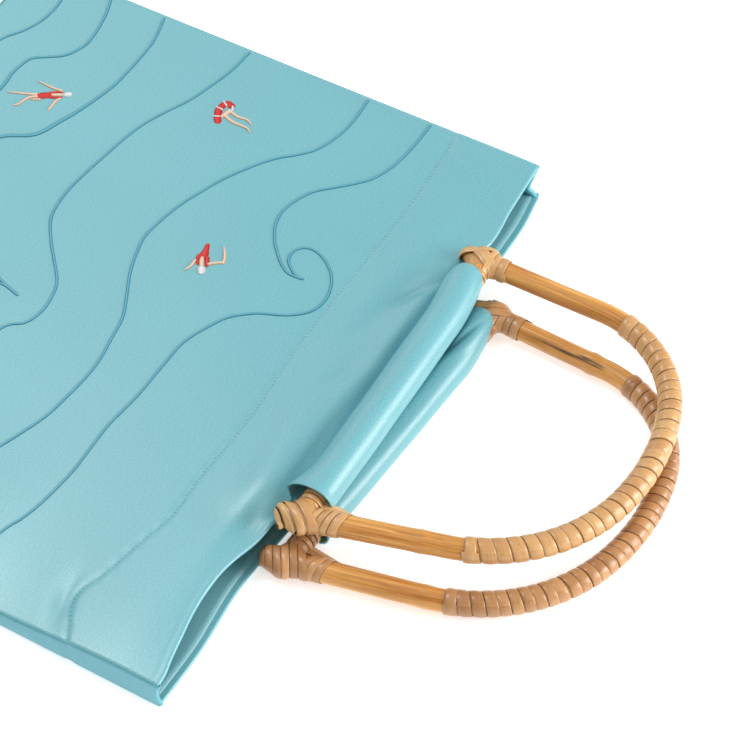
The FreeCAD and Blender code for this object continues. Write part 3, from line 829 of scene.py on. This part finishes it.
def placed(side, x, out, up):
    middle, bar_way, out_way, up_way = handle_axes(side)
    x, out, up = np.broadcast_arrays(x, out, up)
    return middle + x[..., None] * bar_way + out[..., None] * out_way + up[..., None] * up_way


def hoop_tube(side, s, angle, radius):
    """Points at a radius round the hoop's own line, at path lengths s; angle 0 is up."""
    way = unit(np.gradient(HOOP_LINE, axis=0))
    x, out, way_x, way_out = (np.interp(s, HOOP_PLACES, values) for values in (*HOOP_LINE.T, *way.T))
    return placed(side, x - radius * np.sin(angle) * way_out, out + radius * np.sin(angle) * way_x,
                  radius * np.cos(angle))


def build_hoops(material, rng):
    total = HOOP_LENGTH
    # Joints of the cane as (place, swell), and splits as (place, angle, half length, half width).
    joints = {"front": [(total * 0.17, 0.25)], "back": [(total - 58, 0.5), (total * 0.2, 0.2)]}
    splits = {"front": [(total * 0.155, 0.2, 8, 0.07), (total * 0.19, -0.5, 7, 0.05)],
              "back": [(total - 46, -0.75, 22, 0.20), (total - 58, -0.5, 8, 0.25),
                       (total * 0.18, 0.4, 9, 0.06)]}
    s = np.linspace(0, total, 420)[:, None]
    angle = np.linspace(0, 2 * math.pi, 40, endpoint=False)[None]
    for side, layer in (("front", 7.0), ("back", 31.0)):
        radius = cane_radius(s) + 0.07 * np.sin(s / 11 + rng.random() * 6) * np.sin(angle + s / 40)
        for place, swell in joints[side]:
            radius = radius + swell * np.exp(-((s - place) / 2.6) ** 2)
        mark = np.zeros_like(radius)
        for place, around, length, width in splits[side]:
            off = (angle - around + math.pi) % (2 * math.pi) - math.pi
            dent = np.exp(-((s - place) / length) ** 4 - (off / width) ** 2)
            mark = np.maximum(mark, dent)
            radius = radius - 0.35 * dent
        ends = np.clip(np.minimum(s, total - s) / 2.0, 0, 1)
        radius = radius * (0.35 + 0.65 * np.sqrt(1 - (1 - ends) ** 2))
        points = hoop_tube(side, s, angle, radius)
        grain = np.stack(np.broadcast_arrays(angle * 5.2, s, layer), -1)
        rings = np.arange(mark.size).reshape(mark.shape)
        tube = (points.reshape(-1, 3), grain.reshape(-1, 3), grid_faces(*mark.shape, True), rings[0, ::-1],
                rings[-1])
        add_piece(f"{side}_hoop_cane", [tube], material, f"{side}_handle", [f"{side}_hoop"],
                  mark.ravel())


def build_grip_wraps(materials, rng):
    """A peel wound round the crown of each hoop in close, uneven turns, with a loose tail."""
    steps = 44
    start = WRAP_START
    end = HOOP_LENGTH - WRAP_START
    share = np.array([-1.0, -0.93, -0.7, -0.25, 0.25, 0.7, 0.93, 1.0])[:, None]
    crown = np.array([0.12, 0.46, 0.66, 0.76, 0.76, 0.64, 0.42, 0.10])[:, None]
    for side, turns in (("front", 31), ("back", 36)):
        sizes = np.array([1.0 + 0.24 * (rng.random() - 0.5) + 0.30 * math.exp(-turn / 5)
                          for turn in range(turns)])
        edges = np.concatenate([[0], np.cumsum(sizes)]) / sizes.sum() * (end - start - 5) + start + 2.5
        u = np.arange(turns * steps + 1) / steps
        middle = np.interp(u, np.arange(turns + 1), edges)
        pitch = np.interp(u, np.arange(turns) + 0.5, np.diff(edges))
        lift = np.interp(u, np.arange(turns), [0.12 * rng.random() for turn in range(turns)])
        wobbles = [0.5 * (rng.random() - 0.5) for half_turn in range(turns * 2)]
        wobble = np.interp(u, np.arange(turns * 2) / 2, wobbles)
        s = middle + wobble + share * pitch * 0.50
        points = hoop_tube(side, s, u * 2 * math.pi + 0.8, cane_radius(middle) + crown + lift - 0.02)
        parts = [shell(points, 0.35, (share * GRAIN_WIDTH, u * 34.0, np.floor(u) * 1.7)),
                 end_ring(side, start + 2.7, 5.4), end_ring(side, end - 2.1, 4.2), loose_tail(side, end)]
        add_piece(f"{side}_grip_peel", parts, materials[side + "_peel"], f"{side}_handle",
                  [f"{side}_grip_wrap"])


def end_ring(side, place, width):
    """The square turn that holds an end of the grip's peel."""
    share = np.array([-1.0, -0.95, -0.7, 0.0, 0.7, 0.95, 1.0])[:, None]
    crown = np.array([0.02, 0.46, 0.80, 0.90, 0.80, 0.46, 0.02])[:, None]
    angle = np.linspace(0, 2 * math.pi, 48, endpoint=False)
    points = hoop_tube(side, place + share * width / 2, angle, cane_radius(place) + crown)
    return shell(points, 0.35, (share * GRAIN_WIDTH, angle * 6, place * 0.37), True)


def loose_tail(side, end):
    """The cut end of the peel, standing a little off the cane beside the last turns."""
    t = np.linspace(0, 1, 12)
    width = np.array([-0.6, 0.0, 0.6])[:, None] * (1 - 0.4 * t)
    points = hoop_tube(side, end - 1.0 - 7.0 * t + width, math.pi / 2 + 0.5 * t + 0.35, 5.9 + 1.6 * t ** 2)
    return shell(points, 0.3, (width, t * 8, 3.0))


def capsule(point, start, end, radius):
    """Distance of points from a round bar."""
    way = end - start
    t = np.clip(((point - start) @ way) / (way @ way), 0, 1)
    return np.linalg.norm(point - start - t[..., None] * way, axis=-1) - radius


def joint_field(end):
    """Distance to the bar and the hoop arm where they meet, in a handle's own frame."""
    side, lean, _, cane_here = HOOP_ENDS[end]
    corner = np.array([side * HOOP_HALF_WIDTH, 0.0, 0.0])
    arm = np.array([-side * math.sin(lean), math.cos(lean), 0.0])
    bar = np.array([-side, 0.0, 0.0])

    def field(point):
        first = capsule(point, corner - arm * 7.0, corner + arm * 40, cane_here)
        second = capsule(point, corner - bar * 3.0, corner + bar * 40, BAR_RADIUS)
        blend = np.clip(0.5 + 0.5 * (first - second) / 5.0, 0, 1)
        return first * (1 - blend) + second * blend - 5.0 * blend * (1 - blend) * 0.55
    return field, corner, arm, bar


def band(side, field, centre, normal, width, lift):
    """A flat strip wound once round a joint of a handle, in the plane through a point."""
    normal = unit(normal)
    across = unit(np.cross(normal, [0.0, 0.0, 1.0]))
    upward = np.cross(normal, across)
    angle = np.linspace(0, 2 * math.pi, 64, endpoint=False)[:, None]
    share = np.array([-1.0, -0.95, -0.75, 0.0, 0.75, 0.95, 1.0])[:, None]
    crown = np.array([0.02, 0.36, 0.54, 0.62, 0.54, 0.36, 0.02])[:, None]
    out = np.cos(angle) * upward + np.sin(angle) * across
    base = centre + share[..., None] * width / 2 * normal
    reach = np.full((len(share), len(angle)), 24.0)
    for step in range(60):
        reach = np.clip(reach - 0.9 * field(base + out * reach[..., None]), 1.2, 24.0)
    point = base + out * (reach + crown + lift)[..., None]
    layer = centre[0] * 0.7 + centre[1] * 1.3 + lift * 11
    grain = (share * GRAIN_WIDTH, angle[:, 0] * 7.0, layer)
    return shell(placed(side, *np.moveaxis(point, -1, 0)), 0.35, grain, True)


ALONG_ARM = (1.0, 0.0)
ALONG_BAR = (0.0, 1.0)
DIAGONAL = (0.62, 0.62)
CHEVRON = (1.0, -0.42)
STEEP = (0.86, 0.34)
CROSSING = (0.50, -0.87)
SLANT = (0.50, 0.87)
# Turns round the bar next to the joint, and then those of each lashing, as (direction along which
# they are placed, direction they are square to, [(place, width, lift), ...]), with directions as
# shares of the arm and of the bar. The widest turn of each lashing is the core under the others.
BAR_TURNS = [(ALONG_BAR, ALONG_BAR, [(place, 2.6, 0.1) for place in (9.0, 12.0, 15.0, 18.0)])]
LASHING_TURNS = {
    ("front", "near"): [
        (DIAGONAL, DIAGONAL, [(-0.8, 16.0, -0.40)]),
        (ALONG_ARM, CHEVRON, [(6.5, 2.7, 0.0), (9.8, 2.8, 0.10), (13.2, 3.0, 0.0), (17.3, 4.1, 0.15)]),
        (DIAGONAL, DIAGONAL, [(-10.4, 2.2, 0.0), (-7.2, 2.9, 0.2), (-3.2, 3.7, 0.35), (1.6, 4.3, 0.6)])],
    ("back", "near"): [
        (STEEP, STEEP, [(-1.6, 18.0, -0.40)]),
        (ALONG_ARM, CHEVRON, [(11.0, 3.4, 0.05), (14.5, 3.6, 0.15), (18.0, 3.5, 0.05)]),
        (STEEP, STEEP, [(-10.4, 2.8, 0.05), (-7.4, 3.5, 0.2), (-3.9, 3.7, 0.3), (-0.3, 3.7, 0.4),
                        (3.4, 3.7, 0.5), (7.1, 3.7, 0.6)])],
    ("front", "far"): [
        (DIAGONAL, DIAGONAL, [(-2.0, 16.0, -0.40)]),
        (ALONG_ARM, CROSSING, [(-4.2, 3.0, 0.15), (-1.0, 3.2, 0.25), (2.2, 3.2, 0.3)]),
        (ALONG_ARM, ALONG_ARM, [(3.0, 3.0, 0.3), (6.1, 3.2, 0.4), (9.6, 4.2, 0.35)]),
        (SLANT, SLANT, [(-7.6, 3.4, 0.25), (-4.4, 3.6, 0.6)])],
    ("back", "far"): [
        (DIAGONAL, DIAGONAL, [(-2.0, 16.0, -0.40)]),
        (ALONG_ARM, ALONG_ARM, [(2.0, 3.2, 0.1), (5.4, 3.5, 0.2), (8.9, 3.7, 0.12), (13.0, 4.5, 0.25)]),
        (SLANT, SLANT, [(-7.2, 3.8, 0.3), (-3.0, 4.5, 0.6), (1.6, 4.5, 0.75)])],
}


def build_lashings(materials):
    """Figure-eight bindings: turns round the arm, round the bar and crossing over the corner."""
    for side in ("front", "back"):
        for end in ("near", "far"):
            field, corner, arm, bar = joint_field(end)
            parts = []
            for direction, square, turns in BAR_TURNS + LASHING_TURNS[side, end]:
                way = arm * direction[0] + bar * direction[1]
                normal = arm * square[0] + bar * square[1]
                parts += [band(side, field, corner + way * place, normal, width, lift)
                          for place, width, lift in turns]
            add_piece(f"{side}_{end}_lashing_peel", parts, materials[side + "_peel"], f"{side}_handle",
                      [f"{side}_{end}_lashing"])


def dress_cad_nodes(materials):
    """Materials for the CAD nodes whose own shapes stay: the crossbars and the brads."""
    for side in ("front", "back"):
        for name, look in ((f"{side}_crossbar", "bar"), (f"{side}_brads", "steel")):
            node = frame["nodes"][name]
            node.data.materials.clear()
            node.data.materials.append(materials[look])


def bar_cane():
    """Cane for the CAD crossbars, which carry no grain of their own: it runs along X."""
    graph = Graph("bar_cane", 0.4)
    place = graph.node("ShaderNodeTexCoord").outputs["Object"]
    fibres = graph.noise(graph.scaled(place, (30.0, 1100.0, 1100.0)), 1.0, 4.0, 0.65)
    base = graph.blend(graph.spread(fibres), rgb(204, 138, 68), rgb(234, 174, 98))
    return graph.finish(base, graph.bump(fibres, 0.3, 0.15))


# ---- stage

def build_stage():
    bpy.ops.mesh.primitive_grid_add(x_subdivisions=2, y_subdivisions=2, size=8.0)
    floor = bpy.context.object
    floor.name = "floor"
    # The floor glows: its emission keeps it white, washes out the shadows cast on it and throws painted
    # bounce light onto the bag's undersides.
    graph = Graph("glowing_white_floor", 0.85, Specular_IOR_Level=0.1, Emission_Color=(1.0, 1.0, 1.0, 1.0),
                  Emission_Strength=0.50)
    tone = graph.noise(graph.node("ShaderNodeTexCoord").outputs["Object"], 3.0)
    base = graph.blend(tone, (0.90, 0.90, 0.90, 1), (0.93, 0.93, 0.93, 1))
    floor.data.materials.append(graph.finish(base))

    world = bpy.data.worlds.new("studio")
    bpy.context.scene.world = world
    world.use_nodes = True
    background = world.node_tree.nodes["Background"]
    background.inputs["Color"].default_value = (1.0, 1.0, 1.0, 1.0)
    background.inputs["Strength"].default_value = 0.45

    add_light("overhead_softbox", (-0.5, 0.1, 1.6), (0, 0, 0), 1.4, 3.4)
    add_light("sheen_softbox", (0.1, 0.67, 1.5), (0, -0.05, 0), 0.6, 9.5)
    add_light("rear_softbox", (0.9, 1.12, 0.9), (0.02, -0.15, 0), 0.95, 2.4)
    add_light("front_fill", (0.5, -1.5, 0.45), (0, -0.2, 0), 1.1, 24.0)


def add_light(name, place, target, size, power):
    lamp = bpy.data.lights.new(name, "AREA")
    lamp.shape = "DISK"
    lamp.size = size
    lamp.energy = power
    light = bpy.data.objects.new(name, lamp)
    light.location = place
    light.rotation_mode = "QUATERNION"
    light.rotation_quaternion = (Vector(target) - Vector(place)).to_track_quat("-Z", "Y")
    bpy.context.scene.collection.objects.link(light)


def add_camera():
    turn, fall = math.radians(59.585), math.radians(51.797)
    look = Vector((math.cos(fall) * math.sin(turn), math.cos(fall) * math.cos(turn), -math.sin(fall)))
    lens = bpy.data.cameras.new("camera")
    lens.sensor_width = 36.0
    lens.lens = 147.84
    camera = bpy.data.objects.new("camera", lens)
    camera.location = Vector((0.0341, -0.0639, 0.0)) - look * 1.4402
    camera.rotation_mode = "QUATERNION"
    camera.rotation_quaternion = look.to_track_quat("-Z", "Y")
    bpy.context.scene.collection.objects.link(camera)
    bpy.context.scene.camera = camera


def main():
    rng = random.Random(7)
    bpy.context.scene.view_settings.view_transform = "Standard"
    materials = make_materials()
    materials["bar"] = bar_cane()
    build_stage()
    add_camera()
    build_front_panel(materials["satin"])
    build_back_panel(materials["satin"])
    build_inner_sheets(materials)
    build_gussets(materials)
    build_base(materials["gusset"])
    build_tabs(materials["satin"])
    build_embroidery(materials)
    build_stitches(materials)
    build_hoops(materials["cane"], rng)
    build_grip_wraps(materials, rng)
    build_lashings(materials)
    dress_cad_nodes(materials)


main()
